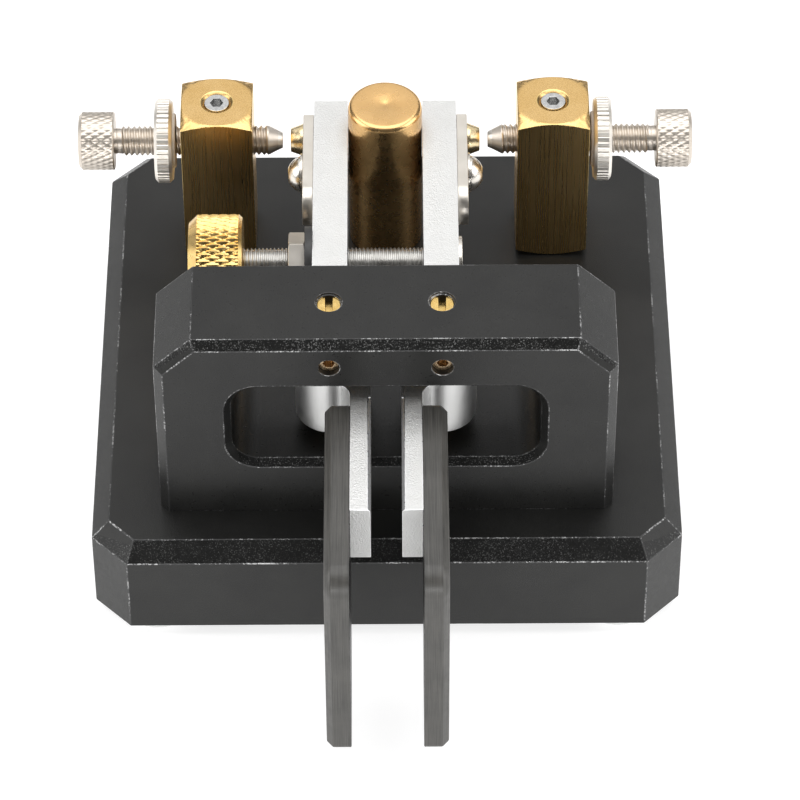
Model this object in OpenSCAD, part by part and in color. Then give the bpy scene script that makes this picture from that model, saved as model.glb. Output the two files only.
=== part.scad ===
// Dual-lever morse paddle: two arms on vertical pivots in a bridge, on a heavy square base.
// X runs left to right, Y front to back, Z up. Z = 0 is the table under the feet.
// Every module draws in base-centred coordinates; seated() moves the model to its own origin.

/* [Base] */
// Width of the base block
base_w = 75; // [68:1:96]
// Depth of the base block, front to back
base_d = 75; // [70:1:96]
// Thickness of the base block
base_h = 14; // [12.5:0.5:20]
// Leg of the cut on each vertical corner of the base
base_corner = 4.6; // [2:0.2:6]
// Leg of the bevel round the top of the base
base_bevel = 2.2; // [0.6:0.2:3]
// Diameter of a foot
foot_d = 10; // [7:0.5:11]
// Height of a foot
foot_h = 2; // [1.5:0.1:4]
// Distance of a foot's centre from the side of the base
foot_inset_x = 8; // [6:0.5:10]
// Distance of a foot's centre from the front or rear of the base
foot_inset_y = 5.7; // [5.6:0.1:8]

/* [Bridge] */
// Width of the bridge
bridge_w = 57.4; // [54:0.2:66]
// Thickness of the bridge, front to back
bridge_d = 15; // [12:0.5:18]
// Height of the bridge above the base
bridge_h = 29.8; // [28:0.2:36]
// Distance from the front of the base to the front of the bridge
bridge_setback = 7.1; // [4:0.1:9]
// Leg of the cut on the bridge's upper corners
bridge_corner = 4.7; // [2:0.1:7]
// Leg of the bevel on the bridge's edges
bridge_bevel = 1.1; // [0.4:0.1:1.6]
// Width of the window in the bridge
window_w = 38.6; // [32:0.2:40]
// Height of the window in the bridge
window_h = 12.8; // [12:0.2:14]
// Height of the sill under the window
window_sill = 8.9; // [8:0.1:10]
// Corner radius of the window
window_r = 3.5; // [1:0.1:5]
// Leg of the bevel round the window
window_bevel = 0.9; // [0.3:0.1:1.4]

/* [Arms] */
// Distance between the two pivot axes
pivot_span = 14; // [13.6:0.1:16.8]
// Diameter of the round boss at the pivot
boss_d = 8.8; // [8.2:0.1:10]
// Height of an arm
arm_h = 8.6; // [8:0.1:9.6]
// Thickness of an arm behind the bridge
arm_t = 4.5; // [4:0.1:5.4]
// Thickness of an arm in front of the boss
web_t = 2.6; // [2:0.1:3]
// Gap between the two arms in front of the bridge
web_gap = 3.8; // [3:0.1:4.4]
// Reach of an arm in front of its pivot
arm_front = 25.5; // [24:0.5:30]
// Length of an arm behind the contact axis
arm_tail = 4.8; // [3:0.1:6]
// Fillet where the arm leaves the boss
boss_fillet = 1.8; // [1:0.1:2]
// Bevel along the upper inner edge of the arm's front
arm_bevel = 0.35; // [0.1:0.05:0.6]

/* [Finger plates] */
// Thickness of a finger plate
paddle_t = 3.1; // [2.4:0.1:4]
// Reach of a finger plate in front of the arm's end
paddle_reach = 11.8; // [8:0.2:16]
// Height of a finger plate at its front
paddle_h = 31.3; // [24:0.1:33]
// Height of a finger plate at the bridge
paddle_root_h = 10; // [8.6:0.2:12]
// Length of a finger plate's lower edge
paddle_foot = 11; // [8:0.2:16]
// Radius of a finger plate's upper front corner
paddle_r = 3; // [1.5:0.1:5]
// Radius of a finger plate's lower corners
paddle_toe_r = 1; // [0.8:0.1:4]
// Bevel round a finger plate's outer face
paddle_bevel = 0.8; // [0.2:0.1:1.2]

/* [Contacts] */
// Distance from the rear of the base to the contact axis
contact_setback = 17.1; // [15:0.1:19]
// Height of the contact axis above the middle of the arms
contact_rise = 1.7; // [0.5:0.1:2]
// Gap between an arm's contact and its contact screw
contact_gap = 1.05; // [0.6:0.05:1.3]
// Thickness of the plate that carries an arm's contact
plate_t = 1.4; // [0.8:0.1:1.8]
// Height of that plate
plate_h = 6; // [5.4:0.1:6.6]
// Distance that an arm's contact stands off its plate
stud_len = 1.65; // [1:0.05:2.2]
// Diameter of an arm's contact at its root
stud_d = 4.3; // [3.4:0.1:4.6]
// Diameter of an arm's contact at its end
stud_end_d = 3.1; // [2:0.1:3.4]
// Distance from the contact axis forward to the plate's screw
plate_screw_step = 6; // [5.4:0.1:7]
// Diameter of a contact screw
screw_d = 3.9; // [3:0.1:4.2]
// Bare length of a contact screw between its tip and the post
screw_nose = 3.85; // [3:0.05:5]
// Length of a contact screw between the post and its head
screw_tail = 8.95; // [8:0.05:12]
// Diameter of a contact screw's knurled head
head_d = 7.7; // [6:0.1:9]
// Length of a contact screw's knurled head
head_len = 4.65; // [3.6:0.05:6]
// Diameter of a lock nut
nut_d = 11.1; // [9:0.1:12.4]
// Thickness of a lock nut's serrated rim
nut_t = 2.3; // [1.8:0.1:2.8]
// Gap between the left lock nut's hub and its post
left_nut_gap = 0.9; // [0.3:0.05:1.2]
// Gap between the right lock nut's hub and its post
right_nut_gap = 0.35; // [0.3:0.05:1.2]

/* [Posts] */
// Side of a square contact post
post_w = 9.4; // [8:0.1:10]
// Height of a contact post above the contact axis
post_cap = 6.8; // [5.6:0.1:8]
// Diameter of the centre post that both arms rest against
stop_d = 9.7; // [8:0.1:10.2]
// Height of the centre post above the base
stop_h = 23.2; // [20.4:0.1:25]

/* [Tension adjuster] */
// Distance from the pivot axis back to the tension rod
rod_step = 21.7; // [18:0.1:24]
// Diameter of the tension rod
rod_d = 4; // [3:0.1:4.2]
// Diameter of the tension knob
knob_d = 12.8; // [9:0.1:14]
// Length of the tension knob
knob_len = 6.9; // [5:0.1:9]
// Free rod between the tension knob and the nut
rod_free = 5.9; // [3:0.1:8]
// Gap between the rod's magnet and the arm's magnet
magnet_gap = 0.9; // [0.8:0.05:1]
// Diameter of the arm's magnet
magnet_d = 6.9; // [6:0.1:7.4]

/* [Output socket] */
// Diameter of the plug hole in the socket
plug_bore = 3.6; // [3.55:0.01:3.7]

/* [Hidden] */
$fn = 64;

// Clearances
run_clear = 0.05;      // radial gap of a thread, pivot or shaft that turns
fit_clear = 0.02;      // radial gap of a screw or pin in the piece that holds it
stop_clear = 0.05;     // gap between an arm and the centre post
skin = 0.01;           // small overshoot of a cutter past a face
far = 400;             // reach of a cutting prism

// Heights
base_top = foot_h + base_h;
window_z = base_top + window_sill;
bridge_top = base_top + bridge_h;
beam_z = window_z + window_h;
arm_mid = window_z + window_h / 2;
arm_low = arm_mid - arm_h / 2;
arm_top = arm_mid + arm_h / 2;
contact_z = arm_mid + contact_rise;
plate_mid = arm_mid + contact_rise - 0.6;

// Places along Y, from the middle of the base
bridge_y = -base_d / 2 + bridge_setback + bridge_d / 2;
bridge_front = bridge_y - bridge_d / 2;
pivot_y = bridge_y;
contact_y = base_d / 2 - contact_setback;
arm_end = pivot_y - arm_front;
arm_rear = contact_y + arm_tail;
rod_y = pivot_y + rod_step;
paddle_rear = bridge_front + 0.1;
paddle_front = arm_end - paddle_reach;
plate_screw_y = contact_y - plate_screw_step;

// Places along X, on the right-hand side
pivot_x = pivot_span / 2;
arm_in = stop_d / 2 + stop_clear;
arm_out = arm_in + arm_t;
web_in = web_gap / 2;
web_out = web_in + web_t;
plate_out = arm_out + plate_t;
stud_out = plate_out + stud_len;
tip_x = stud_out + contact_gap;
post_in = tip_x + screw_nose;
post_x = post_in + post_w / 2;
post_out = post_in + post_w;
head_x = post_out + screw_tail;

// Wiring pocket under the base
web_h = 5;                        // metal left above the pocket
pocket_z = base_top - web_h;
cover_t = 1.5;
cover_ledge = 4;
pocket_x = post_x + 4.45;
pocket_front = contact_y - 10.4;
pocket_rear = base_d / 2 - 3.5;
cover_x = pocket_x + cover_ledge;
cover_front = pocket_front - 2.5;
cover_rear = pocket_rear + 1.5;
cover_screw_x = pocket_x + cover_ledge / 2;
cover_screw_ys = [pocket_front + 2, pocket_rear - 9.5];

// Small hardware
foot_round = 1.4;
cover_clear = 0.1;                // gap round the cover in its seat
cover_screw_d = 2;
cover_screw_len = 6;
cover_screw_head = 3.8;
cover_screw_depth = 5;
cover_hole_d = 2.2;
cover_sink_d = 4;
pivot_screw_d = 2.9;
pivot_nose_d = 2;
pivot_recess = 0.5;
pivot_rim_d = 3.3;
pivot_rim_depth = 0.3;
pivot_slot_w = 0.9;
pivot_slot_depth = 0.8;
lock_screw_d = 2.6;
lock_recess = 0.8;
lock_z = (beam_z + bridge_top) / 2;
bearing_d = 6;
bearing_w = 2.5;
bearing_clear_d = 4;              // bore between the two bearings of an arm
stem_d = 3.2;                     // screws that hold the posts and the bridge
stem_head_d = 6.4;
stem_head_h = 2.4;
stem_key = 2.5;
stem_reach = 7;                   // thread of a post's screw inside the post
head_clear = 0.2;
bridge_reach = 9;                 // thread of a bridge screw inside the bridge
bridge_head_h = 3;
bush_d = 5.2;
bush_flange_d = 8.4;
bush_flange_t = 1;
tag_t = 0.5;
tag_w = 2;
tag_tail = 6;
insul_t = 0.2;
post_z = base_top + insul_t;
post_h = contact_z + post_cap - post_z;
grub_d = 3.2;
grub_recess = 0.1;
grub_sink = 0.4;                  // depth of the countersink over a grub screw
post_rim = 0.2;                   // flat left on a post's end before its cone
post_cone = 0.99;
paddle_screw_d = 2.2;
paddle_screw_head = 4;
plate_nose = 5.4;                 // plate in front of its screw, to the centre of its end
plate_tail = 2.3;                 // plate behind the contact axis
stud_shank_d = 2;
stud_shank_len = 1.5;
tip_shank_d = 1.4;
tip_shank_len = 1.5;
tip_end_d = 2.1;
tip_root_d = 2.6;
tip_len = 0.6;
nose_taper = 0.9;
hub_d = 7.2;
hub_len = 0.35;
rod_bore = rod_d + 1.4;           // clears the rod while both arms swing
rod_nut_t = 2.1;
rod_nut_af = 7;
rod_nut_chamfer = 0.2;
rod_nut_turned = 8;               // angle at which the nut happens to stand
rod_washer_t = 1;
rod_washer_d = 9.6;
rod_nut_x = arm_out + rod_washer_t;
knob_x = rod_nut_x + rod_nut_t + rod_free;
arm_magnet_t = 2.5;
arm_magnet_proud = 0.5;
arm_magnet_in = arm_out + arm_magnet_proud - arm_magnet_t;
rod_magnet_t = 1.2;
rod_magnet_d = 3.6;
rod_end = arm_magnet_in - magnet_gap - rod_magnet_t;
washer_t = 0.3;
button_d = 4.8;
button_h = 1.8;
button_stem_d = 2.5;
button_reach = 2.6;               // thread of a plate screw inside the arm

// Output socket in the rear wall
jack_z = foot_h + cover_t + 4.1;
jack_bush_d = 6;
jack_bush_out = 2.6;              // thread that stands out of the rear face
jack_body = [8.4, 8.6, 6.4];
jack_nut_d = 8.4;
jack_nut_t = 1.8;
plug_depth = 11;
jack_end = base_d / 2 + jack_bush_out;

// Wiring: each path runs from the socket's body to the tail of its tag
wire_d = 1.2;
wire_sides = 8;
jack_side = jack_body[0] / 2;
post_tag_z = pocket_z - bush_flange_t - tag_t;
side_wire = [[jack_side + 0.2, pocket_rear - 6, jack_z],
    [jack_side + 3, pocket_rear - 6.4, jack_z],
    [post_x - 9, contact_y + 7, jack_z + 0.4],
    [post_x - 5, contact_y + 5.2, post_tag_z - 1.2],
    [post_x - 0.6, contact_y + 4.6, post_tag_z - wire_d / 2 - 0.1]];
earth_wire = [[jack_side + 0.2, pocket_rear - 7.8, jack_z - 0.9],
    [jack_side + 2.6, pocket_rear - 8.2, jack_z - 1.2],
    [jack_side + 2.8, contact_y, jack_z - 0.8],
    [jack_side + 1, contact_y - 5, jack_z + 1.4],
    [0.6, contact_y - 5, pocket_z - tag_t - wire_d / 2 - 0.1]];

// The origin lies under the middle of the whole key
y_shift = -(paddle_front + jack_end) / 2;

module seated() { translate([0, y_shift, 0]) children(); }
module left_side() { mirror([1, 0, 0]) children(); }
module both_sides() { children(); mirror([1, 0, 0]) children(); }
module along_x() { rotate([0, 90, 0]) children(); }
module along_y() { rotate([-90, 0, 0]) children(); }

// Rectangle with its corners cut at 45 degrees
module cut_rect(w, d, cut) {
    x = w / 2;
    y = d / 2;
    polygon([[-x + cut, -y], [x - cut, -y], [x, -y + cut], [x, y - cut],
        [x - cut, y], [-x + cut, y], [-x, y - cut], [-x, -y + cut]]);
}

// Long prism of the given span whose upper edges are bevelled
module bevel_prism(span, low, high, bevel) {
    s = span / 2;
    rotate([90, 0, 0]) linear_extrude(far, center = true)
        polygon([[-s, low], [s, low], [s, high - bevel], [s - bevel, high],
            [-s + bevel, high], [-s, high - bevel]]);
}

module hex_socket(af, depth) { cylinder(d = af / cos(30), h = depth, $fn = 6); }

// Screw pointing up, its head's underside at z = 0, with a hex socket in the head
module cap_screw(d, len, head, head_h, af) {
    difference() {
        union() {
            translate([0, 0, -head_h / 4]) cylinder(d = d, h = len + head_h / 4);
            translate([0, 0, -head_h]) cylinder(d = head, h = head_h);
        }
        translate([0, 0, -head_h - skin]) hex_socket(af, head_h * 0.6);
    }
}

// Grub screw along +Z from its socket end at z = 0
module grub_screw(d, len, af) {
    difference() {
        cylinder(d = d, h = len);
        translate([0, 0, -skin]) hex_socket(af, min(1.4, len / 2));
    }
}

module base_block() {
    diagonal = (base_w + base_d - 2 * base_corner) / sqrt(2);
    intersection() {
        translate([0, 0, foot_h]) linear_extrude(base_h) cut_rect(base_w, base_d, base_corner);
        bevel_prism(base_w, 0, base_top, base_bevel);
        rotate(90) bevel_prism(base_d, 0, base_top, base_bevel);
        rotate(45) bevel_prism(diagonal, 0, base_top, base_bevel);
        rotate(-45) bevel_prism(diagonal, 0, base_top, base_bevel);
    }
}

module base() {
    color([0.16, 0.16, 0.155]) difference() {
        base_block();
        // wiring pocket and the seat of its cover
        translate([-pocket_x, pocket_front, 0])
            cube([2 * pocket_x, pocket_rear - pocket_front, pocket_z]);
        translate([-cover_x - cover_clear, cover_front - cover_clear, 0])
            cube([2 * (cover_x + cover_clear), cover_rear - cover_front + 2 * cover_clear,
                foot_h + cover_t]);
        both_sides() {
            // bridge screws
            translate([bridge_leg_x(), bridge_y, 0]) {
                cylinder(d = stem_d + 2 * fit_clear, h = far);
                cylinder(d = stem_head_d + 2 * head_clear, h = pocket_z);
            }
            // insulated post screws
            translate([post_x, contact_y, 0]) cylinder(d = bush_d + 2 * fit_clear, h = far);
            for (y = cover_screw_ys) translate([cover_screw_x, y, 0])
                cylinder(d = cover_screw_d + 2 * fit_clear, h = foot_h + cover_t + cover_screw_depth);
        }
        translate([0, contact_y, 0]) cylinder(d = stem_d + 2 * fit_clear, h = far);
        // output socket
        translate([0, pocket_rear - skin, jack_z]) along_y()
            cylinder(d = jack_bush_d + 2 * fit_clear, h = far);
    }
}

module base_cover() {
    color([0.2, 0.2, 0.2]) difference() {
        translate([-cover_x, cover_front, foot_h])
            cube([2 * cover_x, cover_rear - cover_front, cover_t]);
        both_sides() for (y = cover_screw_ys) translate([cover_screw_x, y, foot_h - skin]) {
            cylinder(d = cover_hole_d, h = far);
            cylinder(d1 = cover_sink_d + 2 * skin, d2 = cover_hole_d, h = 1);
        }
    }
}

// Countersunk screw pointing up, its head flush at z = 0
module countersunk_screw(d, len, head, af) {
    cone = (head - d) / 2;
    difference() {
        union() {
            cylinder(d1 = head, d2 = d, h = cone);
            cylinder(d = d, h = len);
        }
        translate([0, 0, -skin]) hex_socket(af, 0.8);
    }
}

module base_cover_screws() {
    color([0.75, 0.75, 0.75]) both_sides() for (y = cover_screw_ys)
        translate([cover_screw_x, y, foot_h])
            countersunk_screw(cover_screw_d, cover_screw_len, cover_screw_head, 1.3);
}

// Soft bumper with a flat sole and a rounded rim
module feet() {
    color([0.82, 0.83, 0.82]) both_sides()
        for (s = [-1, 1])
            translate([base_w / 2 - foot_inset_x, s * (base_d / 2 - foot_inset_y), 0])
                rotate_extrude() {
                    square([foot_d / 2 - foot_round, foot_h]);
                    translate([0, foot_round]) square([foot_d / 2, foot_h - foot_round]);
                    intersection() {
                        translate([foot_d / 2 - foot_round, foot_round]) circle(r = foot_round);
                        square([foot_d / 2, foot_h]);
                    }
                }
}

function bridge_leg_x() = (window_w + bridge_w) / 4;

module bridge_block() {
    corner_reach = (bridge_w / 2 - bridge_corner + bridge_h) / sqrt(2);
    translate([0, bridge_y, base_top]) intersection() {
        rotate([90, 0, 0]) linear_extrude(bridge_d, center = true)
            polygon([[-bridge_w / 2, 0], [bridge_w / 2, 0],
                [bridge_w / 2, bridge_h - bridge_corner], [bridge_w / 2 - bridge_corner, bridge_h],
                [-bridge_w / 2 + bridge_corner, bridge_h],
                [-bridge_w / 2, bridge_h - bridge_corner]]);
        linear_extrude(bridge_h) cut_rect(bridge_w, bridge_d, bridge_bevel);
        rotate(90) bevel_prism(bridge_d, 0, bridge_h, bridge_bevel);
        for_tilts(corner_reach);
    }
}

// The bevels beside both upper corner cuts
module for_tilts(reach) {
    intersection() {
        rotate([0, 45, 0]) rotate(90) bevel_prism(bridge_d, -far, reach, bridge_bevel);
        rotate([0, -45, 0]) rotate(90) bevel_prism(bridge_d, -far, reach, bridge_bevel);
    }
}

// Rounded window through the bridge, with a bevel at both faces
module window_cutter() {
    x = window_w / 2 - window_r;
    z = window_h / 2 - window_r;
    depth = bridge_d + 2 * skin;
    translate([0, bridge_y, arm_mid]) {
        rotate([90, 0, 0]) linear_extrude(depth, center = true) {
            square([window_w, 2 * z], center = true);
            square([2 * x, window_h], center = true);
            for (sx = [-1, 1], sz = [-1, 1]) translate([sx * x, sz * z]) circle(r = window_r);
        }
        for (s = [-1, 1]) scale([1, s, 1]) translate([0, -bridge_d / 2 - skin, 0])
            window_flare(x, z);
    }
}

module window_flare(x, z) {
    c = window_bevel + skin;
    for (sx = [-1, 1], sz = [-1, 1]) translate([sx * x, 0, sz * z])
        along_y() cylinder(r1 = window_r + c, r2 = window_r, h = c);
    linear_extrude(2 * z, center = true) flare_outline(window_w / 2, c);
    rotate([0, 90, 0]) linear_extrude(2 * x, center = true) flare_outline(window_h / 2, c);
}

module flare_outline(half, c) {
    polygon([[-half - c, 0], [half + c, 0], [half, c], [-half, c]]);
}

module bridge() {
    color([0.15, 0.15, 0.145]) difference() {
        bridge_block();
        window_cutter();
        both_sides() {
            translate([pivot_x, pivot_y, arm_mid])
                cylinder(d = pivot_screw_d + 2 * fit_clear, h = far);
            translate([pivot_x, pivot_y, bridge_top - pivot_rim_depth])
                cylinder(d = pivot_rim_d, h = 1);
            translate([pivot_x, pivot_y, base_top - skin])
                cylinder(d = pivot_screw_d + 2 * fit_clear, h = window_sill + 1);
            translate([pivot_x, bridge_front - 1, lock_z]) along_y()
                cylinder(d = lock_screw_d + 2 * fit_clear, h = bridge_d / 2 + 1);
            translate([bridge_leg_x(), bridge_y, base_top - skin])
                cylinder(d = stem_d + 2 * fit_clear, h = bridge_reach + 1);
        }
    }
}

module bridge_screws() {
    color([0.7, 0.7, 0.7]) both_sides() translate([bridge_leg_x(), bridge_y, pocket_z])
        cap_screw(stem_d, web_h + bridge_reach, stem_head_d, bridge_head_h, stem_key);
}

// Brass screw with a screwdriver slot and a nose that enters the arm's upper bearing
module pivot_screws() {
    top = bridge_top - pivot_recess;
    shoulder = arm_top + run_clear;
    color([0.78, 0.6, 0.28]) both_sides() translate([pivot_x, pivot_y, 0]) difference() {
        union() {
            translate([0, 0, shoulder]) cylinder(d = pivot_screw_d, h = top - shoulder);
            translate([0, 0, arm_top - bearing_w]) cylinder(d = pivot_nose_d, h = bearing_w + 1);
        }
        translate([-pivot_slot_w / 2, -pivot_screw_d, top - pivot_slot_depth])
            cube([pivot_slot_w, 2 * pivot_screw_d, 1]);
    }
}

module lower_pivot_pins() {
    shoulder = arm_low - run_clear;
    color([0.74, 0.56, 0.26]) both_sides() translate([pivot_x, pivot_y, 0]) {
        translate([0, 0, base_top]) cylinder(d = pivot_screw_d, h = shoulder - base_top);
        translate([0, 0, shoulder - 1]) cylinder(d = pivot_nose_d, h = bearing_w + 1 + run_clear);
    }
}

module pivot_lock_screws() {
    start = bridge_front + lock_recess;
    reach = pivot_y - pivot_screw_d / 2 - start;
    color([0.72, 0.72, 0.7]) both_sides() translate([pivot_x, start, lock_z]) along_y()
        grub_screw(lock_screw_d, reach, 1.3);
}

// Plan of one arm: boss, bar behind it, and the thinner web in front of it
module arm_plan() {
    boss_r = boss_d / 2;
    fillet_x = web_out + boss_fillet;
    reach = boss_r + boss_fillet;
    side = fillet_x - pivot_x;
    fillet_y = pivot_y - sqrt(reach * reach - side * side);
    touch = [pivot_x + side * boss_r / reach, pivot_y + (fillet_y - pivot_y) * boss_r / reach];
    translate([pivot_x, pivot_y]) circle(d = boss_d);
    translate([arm_in, pivot_y]) square([arm_t, arm_rear - pivot_y]);
    translate([web_in, arm_end]) square([web_t, pivot_y - arm_end]);
    // taper from the web's inner face to the bar's inner face
    polygon([[web_in, pivot_y], [pivot_x, pivot_y], [arm_out - 1, pivot_y + boss_r + 3],
        [arm_in, pivot_y + boss_r + 3], [web_in, pivot_y + boss_r - 1]]);
    difference() {
        polygon([[web_in, fillet_y], [fillet_x, fillet_y], touch,
            [pivot_x, pivot_y], [web_in, pivot_y]]);
        translate([fillet_x, fillet_y]) circle(r = boss_fillet);
    }
}

module arm_body() {
    difference() {
        translate([0, 0, arm_low]) linear_extrude(arm_h) arm_plan();
        // seats of the two bearings, and the clear bore between them
        translate([pivot_x, pivot_y, arm_low - 1]) {
            cylinder(d = bearing_d + 2 * fit_clear, h = bearing_w + 1);
            cylinder(d = bearing_clear_d, h = arm_h + 2);
        }
        translate([pivot_x, pivot_y, arm_top - bearing_w])
            cylinder(d = bearing_d + 2 * fit_clear, h = far);
        // bevel along the upper inner edge of the front
        translate([web_in, (arm_end + bridge_front) / 2, arm_top]) rotate([90, 0, 0])
            linear_extrude(bridge_front - arm_end + 2, center = true)
                polygon([[-1, -arm_bevel - 1], [-1, 1], [arm_bevel + 1, 1]]);
        for (y = paddle_screw_ys()) translate([web_in - 1, y, arm_mid]) along_x()
            cylinder(d = paddle_screw_d + 2 * fit_clear, h = 6);
        // plate screw and contact stud
        translate([arm_out - 3, plate_screw_y, plate_mid]) along_x()
            cylinder(d = button_stem_d + 2 * fit_clear, h = 6);
        translate([arm_out - 2, contact_y, contact_z]) along_x()
            cylinder(d = stud_shank_d + 2 * fit_clear, h = 6);
    }
}

function paddle_screw_ys() = [arm_end + 4, paddle_rear - 4.6];

module left_arm() {
    color([0.88, 0.88, 0.88]) left_side() difference() {
        arm_body();
        translate([arm_in - 1, rod_y, arm_mid]) along_x()
            cylinder(d = rod_d + 2 * run_clear, h = arm_t + 2);
    }
}

module right_arm() {
    color([0.88, 0.88, 0.88]) difference() {
        arm_body();
        translate([arm_in - 1, rod_y, arm_mid]) along_x() cylinder(d = rod_bore, h = arm_t + 2);
        translate([arm_magnet_in, rod_y, arm_mid]) along_x()
            cylinder(d = magnet_d + 2 * fit_clear, h = arm_t);
    }
}

// Shielded ball bearing
module bearing() {
    rotate_extrude() difference() {
        translate([pivot_nose_d / 2 + 0.03, 0])
            square([(bearing_d - pivot_nose_d) / 2 - 0.03, bearing_w]);
        for (z = [-skin, bearing_w - 0.2]) translate([1.7, z]) square([0.7, 0.2 + skin]);
    }
}

module arm_bearings() {
    color([0.68, 0.68, 0.7]) translate([pivot_x, pivot_y, 0])
        for (z = [arm_low, arm_top - bearing_w]) translate([0, 0, z]) bearing();
}

module left_arm_bearings() { left_side() arm_bearings(); }
module right_arm_bearings() { arm_bearings(); }

// Side outline of a finger plate, drawn in Y and Z, shrunk by an inset
module paddle_outline(inset) {
    low = arm_top - paddle_h + paddle_toe_r;
    hull() {
        translate([paddle_front + paddle_r, arm_top - paddle_r])
            circle(r = paddle_r - inset, $fn = 40);
        for (y = [paddle_toe_r, paddle_foot - paddle_toe_r])
            translate([paddle_front + y, low]) circle(r = paddle_toe_r - inset, $fn = 24);
        for (z = [arm_top - paddle_root_h + 1, arm_top - 1])
            translate([paddle_rear - 1, z]) circle(r = 1 - inset, $fn = 24);
    }
}

module paddle() {
    color([0.33, 0.33, 0.33]) difference() {
        translate([web_out, 0, 0]) hull() {
            upright(paddle_t - paddle_bevel) paddle_outline(0);
            upright(paddle_t) paddle_outline(paddle_bevel);
        }
        for (y = paddle_screw_ys()) translate([web_out, y, arm_mid]) along_x() {
            translate([0, 0, -1]) cylinder(d = paddle_screw_d + 2 * fit_clear, h = far);
            translate([0, 0, paddle_t - 1]) cylinder(d1 = paddle_screw_d + 2 * fit_clear,
                d2 = paddle_screw_head + 2 * fit_clear, h = 1 + skin);
        }
    }
}

// Turns a Y-Z outline into a plate that rises along +X
module upright(t) {
    multmatrix([[0, 0, 1, 0], [1, 0, 0, 0], [0, 1, 0, 0], [0, 0, 0, 1]])
        linear_extrude(t) children();
}

module left_paddle() { left_side() paddle(); }
module right_paddle() { paddle(); }

module paddle_screws() {
    len = web_t + paddle_t - 0.2;
    color([0.2, 0.2, 0.2]) for (y = paddle_screw_ys())
        translate([web_out + paddle_t - skin, y, arm_mid]) rotate([0, -90, 0])
            countersunk_screw(paddle_screw_d, len, paddle_screw_head, 1.3);
}

module left_paddle_screws() { left_side() paddle_screws(); }
module right_paddle_screws() { paddle_screws(); }

// Plated strip with a round front end, flat against the arm
module contact_plate() {
    r = plate_h / 2;
    rear = contact_y + plate_tail;
    nose = plate_screw_y - plate_nose;
    color([0.8, 0.79, 0.77]) translate([arm_out, 0, 0]) difference() {
        upright(plate_t) {
            translate([nose, plate_mid]) circle(r = r);
            translate([nose, plate_mid - r]) square([rear - nose, plate_h]);
        }
        translate([-1, plate_screw_y, plate_mid]) along_x()
            cylinder(d = button_stem_d + 2 * fit_clear, h = 4);
        translate([-1, contact_y, contact_z]) along_x()
            cylinder(d = stud_shank_d + 2 * fit_clear, h = 4);
    }
}

module left_contact_plate() { left_side() contact_plate(); }
module right_contact_plate() { contact_plate(); }

// Brass stud: a shank through the plate and a cone in front of it
module arm_contact() {
    color([0.85, 0.72, 0.45]) translate([plate_out, contact_y, contact_z]) along_x() {
        translate([0, 0, -plate_t - stud_shank_len])
            cylinder(d = stud_shank_d, h = plate_t + stud_shank_len + 0.1);
        cylinder(d1 = stud_d, d2 = stud_end_d, h = stud_len);
    }
}

module left_arm_contact() { left_side() arm_contact(); }
module right_arm_contact() { arm_contact(); }

module plate_washer() {
    color([0.8, 0.8, 0.8]) translate([plate_out, plate_screw_y, plate_mid]) along_x() difference() {
        cylinder(d = button_d + 0.7, h = washer_t);
        translate([0, 0, -1]) cylinder(d = button_stem_d + 2 * fit_clear, h = 3);
    }
}

module left_plate_washer() { left_side() plate_washer(); }
module right_plate_washer() { plate_washer(); }

// Button-head screw through the washer and the plate into the arm
module plate_screw() {
    dome_r = (button_d * button_d / 4 + button_h * button_h) / (2 * button_h);
    color([0.78, 0.77, 0.75]) translate([plate_out + washer_t, plate_screw_y, plate_mid]) along_x()
        difference() {
            union() {
                rotate_extrude() intersection() {
                    translate([0, button_h - dome_r]) circle(r = dome_r);
                    square([button_d, button_h]);
                }
                translate([0, 0, -washer_t - plate_t - button_reach])
                    cylinder(d = button_stem_d, h = washer_t + plate_t + button_reach + 0.4);
            }
            translate([0, 0, button_h - 1]) hex_socket(1.5, 1.2);
        }
}

module left_plate_screw() { left_side() plate_screw(); }
module right_plate_screw() { plate_screw(); }

// Square brass bar whose ends are turned to a cone, like a nut's
module post() {
    r = post_w / 2;
    corner = r * 1.45;
    color([0.72, 0.54, 0.22]) difference() {
        translate([post_x, contact_y, post_z]) intersection() {
            translate([-r, -r, 0]) cube([post_w, post_w, post_h]);
            rotate_extrude() polygon([[0, 0], [r - post_rim, 0], [corner, post_cone],
                [corner, post_h - post_cone], [r - post_rim, post_h], [0, post_h]]);
        }
        translate([post_in - 1, contact_y, contact_z]) along_x()
            cylinder(d = screw_d + 2 * run_clear, h = post_w + 2);
        translate([post_x, contact_y, contact_z])
            cylinder(d = grub_d + 2 * fit_clear, h = post_cap + 1);
        translate([post_x, contact_y, post_z + post_h - grub_sink])
            cylinder(d1 = grub_d, d2 = grub_d + 1.1, h = grub_sink + skin);
        translate([post_x, contact_y, post_z - 1])
            cylinder(d = stem_d + 2 * fit_clear, h = stem_reach + 2);
    }
}

module left_post() { left_side() post(); }
module right_post() { post(); }

// Thin insulating washers between the posts and the base
module post_washers() {
    color([0.1, 0.1, 0.1]) both_sides() translate([post_x, contact_y, base_top]) difference() {
        cylinder(d = post_w - 0.8, h = insul_t);
        translate([0, 0, -1]) cylinder(d = stem_d + 2 * fit_clear, h = 3);
    }
}

// Flanged insulating bushes that carry the post screws through the base
module post_bushes() {
    color([0.9, 0.9, 0.86]) both_sides() translate([post_x, contact_y, 0]) difference() {
        union() {
            translate([0, 0, pocket_z - bush_flange_t])
                cylinder(d = bush_flange_d, h = bush_flange_t);
            translate([0, 0, pocket_z - skin]) cylinder(d = bush_d, h = web_h + skin);
        }
        cylinder(d = stem_d + 2 * fit_clear, h = far);
    }
}

module post_screws() {
    color([0.7, 0.7, 0.7]) both_sides() translate([post_x, contact_y, post_tag_z])
        cap_screw(stem_d, post_z + stem_reach - post_tag_z, stem_head_d, stem_head_h, stem_key);
}

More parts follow.
